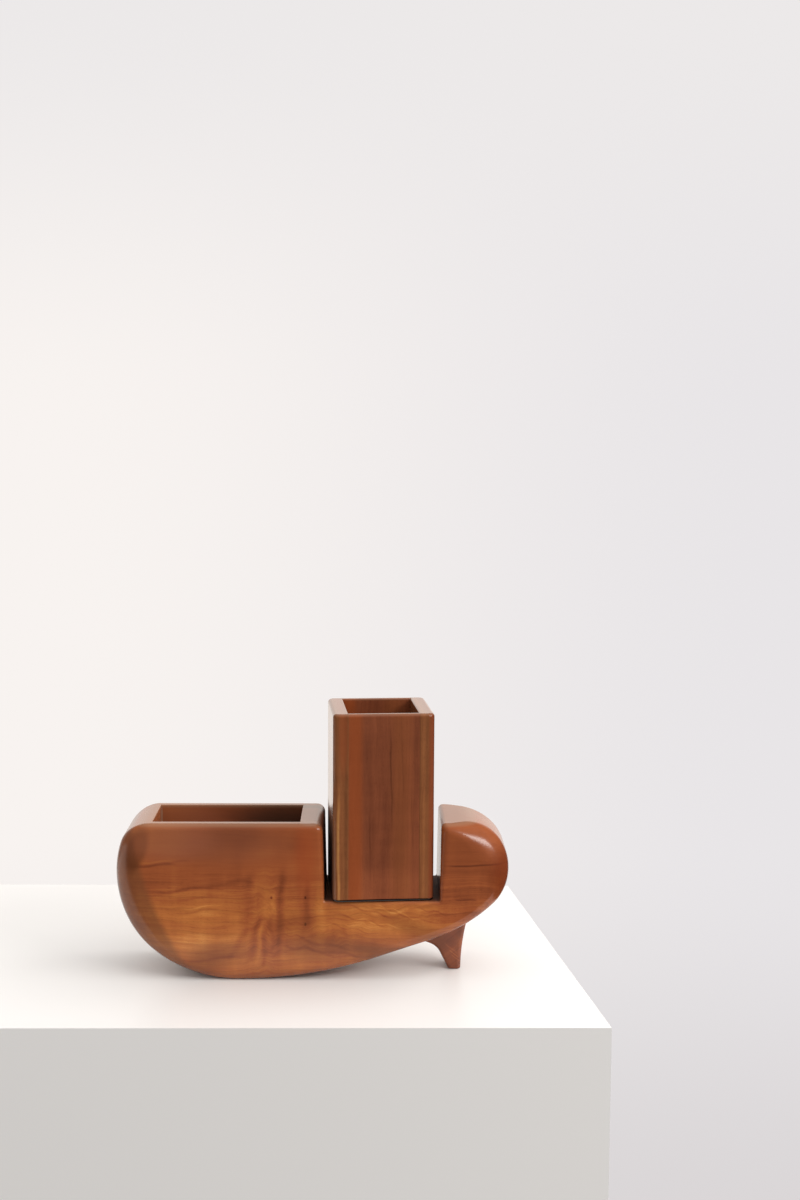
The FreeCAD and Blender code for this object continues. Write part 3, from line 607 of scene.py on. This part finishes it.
def makeDowels():
    tree = bpy.data.node_groups.new("dowelRow", "GeometryNodeTree")
    face = tree.interface
    kinds = {"Count": "NodeSocketInt", "Flutes": "NodeSocketInt"}
    for name in dowels:
        face.new_socket(name, in_out="INPUT", socket_type=kinds.get(name, "NodeSocketFloat"))
    face.new_socket("Material", in_out="INPUT", socket_type="NodeSocketMaterial")
    face.new_socket("Geometry", in_out="OUTPUT", socket_type="NodeSocketGeometry")
    bench = NodeBench(tree)
    entry = tree.nodes.new("NodeGroupInput").outputs
    # one pin: a fluted outline swept along an upright line, thinner at both ends
    top = bench.add("ShaderNodeCombineXYZ", 0, {"Z": entry["Length"]})
    line = bench.add("GeometryNodeCurvePrimitiveLine", 0, {"End": top})
    line = bench.add("GeometryNodeResampleCurve", 0, {"Curve": line, "Count": dowelStations})
    height = bench.split(bench.add("GeometryNodeInputPosition", 0))["Z"]
    toEnd = bench.maths("MINIMUM", height, bench.maths("SUBTRACT", entry["Length"], height))
    cut = bench.maths("MAXIMUM", bench.maths("SUBTRACT", entry["Chamfer"], toEnd), 0.0)
    share = bench.maths("SUBTRACT", 1.0, bench.maths("DIVIDE", cut, entry["Radius"]))
    outline = bench.add("GeometryNodeCurveStar", 0, {
        "Points": entry["Flutes"], "Outer Radius": entry["Radius"],
        "Inner Radius": bench.maths("SUBTRACT", entry["Radius"], entry["Flute Depth"])})
    pin = bench.add("GeometryNodeCurveToMesh", 0,
                    {"Curve": line, "Profile Curve": outline, "Scale": share, "Fill Caps": True})
    # the row runs from the first pin towards the tray
    step = bench.add("ShaderNodeCombineXYZ", 0, {"X": bench.maths("MULTIPLY", entry["Spacing"], -1.0)})
    row = bench.add("GeometryNodeMeshLine", 0, {"Count": entry["Count"], "Offset": step})
    placed = bench.add("GeometryNodeInstanceOnPoints", 0, {"Points": row, "Instance": pin})
    solid = bench.add("GeometryNodeRealizeInstances", 0, {"Geometry": placed})
    dressed = bench.add("GeometryNodeSetMaterial", 0, {"Geometry": solid, "Material": entry["Material"]})
    leave = tree.nodes.new("NodeGroupOutput")
    tree.links.new(dressed, leave.inputs["Geometry"])

    maker = bpy.data.objects.new("dowelMaker", bpy.data.meshes.new("dowelMaker"))
    bpy.context.scene.collection.objects.link(maker)
    modifier = maker.modifiers.new("dowelRow", "NODES")
    modifier.node_group = tree
    inputs = {**dowels, "Material": pinLook}
    for socket in face.items_tree:
        if socket.in_out == "INPUT":
            modifier[socket.identifier] = inputs[socket.name]
    evaluated = maker.evaluated_get(bpy.context.evaluated_depsgraph_get())
    mesh = bpy.data.meshes.new_from_object(evaluated)
    maker.modifiers.clear()
    bpy.data.objects.remove(maker)
    # the first pin stands in the middle of its CAD node
    low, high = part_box("foot_pin_1")
    x, y, z = ((a + b) / 2 for a, b in zip(low, high))
    foot = Vector((x, y, z - dowels["Length"] / 2))
    mesh.transform(Matrix.Translation(foot))
    skin = bmesh.new()
    skin.from_mesh(mesh)
    bmesh.ops.recalc_face_normals(skin, faces=skin.faces)
    skin.to_mesh(mesh)
    skin.free()
    piece = bpy.data.objects.new("foot_dowels", mesh)
    bpy.context.scene.collection.objects.link(piece)
    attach(piece, "stand")
    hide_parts("foot_pin_1", "foot_pin_2")
    print("dowels:", len(mesh.vertices), "points,", [round(v, 5) for v in foot])


makeDowels()

# the stage: a pale plinth in front of a pale wall
plinth = {
    "corners": ((-0.75, -0.0944), (0.1466, -0.0932), (0.1162, 0.1518), (-0.75, 0.158)),   # m, x and y
    "height": 0.6,
    "paints": ("EDEBE9", "E8E6E4"),
    "cloudScale": (3.0, 3.0, 3.0),     # clouds per m in the paint
    "roughness": 0.35,
}


def makePlinth():
    mesh = bpy.data.meshes.new("plinth")
    top = [(x, y, 0.0) for x, y in plinth["corners"]]
    bottom = [(x, y, -plinth["height"]) for x, y in plinth["corners"]]
    sides = [(i, i + 4, (i + 1) % 4 + 4, (i + 1) % 4) for i in range(4)]
    mesh.from_pydata(top + bottom, [], [(0, 1, 2, 3), (7, 6, 5, 4)] + sides)
    piece = bpy.data.objects.new("plinth", mesh)
    bpy.context.scene.collection.objects.link(piece)
    material = bpy.data.materials.new("plinthPaint")
    material.use_nodes = True
    bench = NodeBench(material.node_tree)
    shader = material.node_tree.nodes["Principled BSDF"]
    clouds = bench.noise(bench.stretched(bench.add("ShaderNodeTexCoord", "Object"), plinth["cloudScale"]))
    lighter, darker = (hexColour(code) for code in plinth["paints"])
    bench.feed(shader.inputs["Base Color"], bench.blend(clouds, lighter, darker))
    bench.feed(shader.inputs["Roughness"], plinth["roughness"])
    mesh.materials.append(material)


makePlinth()

# Ranges in the room are parts of a direction: right, back or up, from -1 to 1.
room = {
    # what the camera sees: a pale wall, greyer to the right and a little darker high up and low down
    "wallLeft": "F8F3F0", "wallRight": "E8E5E7", "greyer": (-0.2, 0.25),
    "wallTop": "ECE9E9", "higher": (0.0, 0.24),
    "wallFoot": "DAD6D7", "lower": (-0.45, -0.24),
    # what lights the wood: plain light from all round
    "light": (1.0, 0.985, 0.97, 1.0),
    "lift": 0.78,
    "fromAbove": 0.55,     # share by which the light grows straight above, and shrinks straight below
    "fromRight": 0.25,     # the same, on the right and on the left
    "fromBelow": 0.35,     # share of the light that is left well below the horizon
    "darkening": (-0.35, 0.0),
    # what the finish mirrors: a pale wall behind, a dim room in front, a soft ceiling
    "shine": (1.0, 0.93, 0.87, 1.0),
    "wallStrength": 1.12,
    "wallBack": (0.25, 0.7),       # where the wall fades in, towards the back
    "wallAbove": (0.3, 0.5),       # where it fades out, upwards
    "wallOnRight": (0.25, 0.6),    # and to the right
    "wallOnLeft": (-0.7, -0.3),    # on the left it only dims, to this share
    "leftShare": 0.35,
    "dimRoom": 0.05,
    "ceiling": 0.16,
    "ceilingFrom": (0.1, 0.8),
}


def makeWorld():
    world = bpy.data.worlds.new("paleRoom")
    bpy.context.scene.world = world
    world.use_nodes = True
    tree = world.node_tree
    tree.nodes.clear()
    bench = NodeBench(tree)
    parts = bench.split(bench.add("ShaderNodeTexCoord", "Generated"))
    right, back, up = (parts[name] for name in ("X", "Y", "Z"))

    wall = bench.blend(bench.range(right, *room["greyer"]), hexColour(room["wallLeft"]),
                       hexColour(room["wallRight"]))
    wall = bench.blend(bench.range(up, *room["higher"]), wall, hexColour(room["wallTop"]))
    wall = bench.blend(bench.range(up, *room["lower"], 1.0, 0.0), wall, hexColour(room["wallFoot"]))
    backdrop = bench.add("ShaderNodeBackground", 0, {"Color": wall, "Strength": 1.0})

    lift = bench.maths("MULTIPLY", bench.maths("MULTIPLY_ADD", up, room["fromAbove"], 1.0),
                       bench.maths("MULTIPLY_ADD", right, room["fromRight"], 1.0))
    lift = bench.maths("MULTIPLY", lift, bench.range(up, *room["darkening"], room["fromBelow"], 1.0))
    lift = bench.maths("MULTIPLY", lift, room["lift"])
    glow = bench.add("ShaderNodeBackground", 0, {"Color": room["light"], "Strength": lift})

    wallShare = bench.maths("MULTIPLY", bench.range(back, *room["wallBack"]),
                            bench.range(up, *room["wallAbove"], 1.0, 0.0))
    wallShare = bench.maths("MULTIPLY", wallShare, bench.range(right, *room["wallOnRight"], 1.0, 0.0))
    wallShare = bench.maths("MULTIPLY", wallShare,
                            bench.range(right, *room["wallOnLeft"], room["leftShare"], 1.0))
    upper = bench.range(up, *room["ceilingFrom"], room["dimRoom"], room["ceiling"])
    mirrored = bench.range(wallShare, 0.0, 1.0, upper, room["wallStrength"], smooth=False)
    shine = bench.add("ShaderNodeBackground", 0, {"Color": room["shine"], "Strength": mirrored})

    rays = bench.add("ShaderNodeLightPath", None)
    mixed = bench.add("ShaderNodeMixShader", 0, {0: rays.outputs["Is Glossy Ray"], 1: glow, 2: shine})
    mixed = bench.add("ShaderNodeMixShader", 0, {0: rays.outputs["Is Camera Ray"], 1: mixed, 2: backdrop})
    bench.add("ShaderNodeOutputWorld", None, {"Surface": mixed})


makeWorld()

# two soft lamps on the right: a long window in front, which the lacquer mirrors, and an even one above
lamps = {
    "window": {"place": (1.15, -0.80, 0.86), "aim": (0.0, 0.0, 0.05), "wide": 0.85, "high": 0.28,
               "watts": 9.5, "colour": (1.0, 0.97, 0.94), "mirrored": True},
    "ceiling": {"place": (0.95, 0.08, 0.85), "aim": (0.0, 0.0, 0.0), "wide": 0.9, "high": 0.9,
                "watts": 6.0, "colour": (1.0, 0.98, 0.96), "mirrored": False},
}
for name, lamp in lamps.items():
    light = bpy.data.lights.new(name, "AREA")
    light.shape = "RECTANGLE"
    light.size = lamp["wide"]
    light.size_y = lamp["high"]
    light.energy = lamp["watts"]
    light.color = lamp["colour"]
    holder = bpy.data.objects.new(name, light)
    bpy.context.scene.collection.objects.link(holder)
    holder.location = lamp["place"]
    holder.visible_glossy = lamp["mirrored"]
    aim = Vector(lamp["aim"]) - Vector(lamp["place"])
    holder.rotation_euler = aim.to_track_quat("-Z", "Y").to_euler()
print("stage and light done")

# the camera, low in front
cameraSettings = {
    "place": (0.03025, -0.8696, 0.2916),   # m
    "yaw": -0.017,        # radians, as the next two
    "down": 0.109,
    "roll": 0.006,
    "lens": 50.24,        # mm
    "sensor": 36.0,
}
cameraData = bpy.data.cameras.new("camera")
cameraData.lens = cameraSettings["lens"]
cameraData.sensor_width = cameraSettings["sensor"]
cameraObject = bpy.data.objects.new("camera", cameraData)
bpy.context.scene.collection.objects.link(cameraObject)
pose = (Matrix.Rotation(cameraSettings["yaw"], 4, "Z")
        @ Matrix.Rotation(math.pi / 2 - cameraSettings["down"], 4, "X")
        @ Matrix.Rotation(cameraSettings["roll"], 4, "Z"))
cameraObject.matrix_world = Matrix.Translation(cameraSettings["place"]) @ pose
bpy.context.scene.camera = cameraObject

bpy.context.scene.view_settings.view_transform = "Standard"
print("scene done")
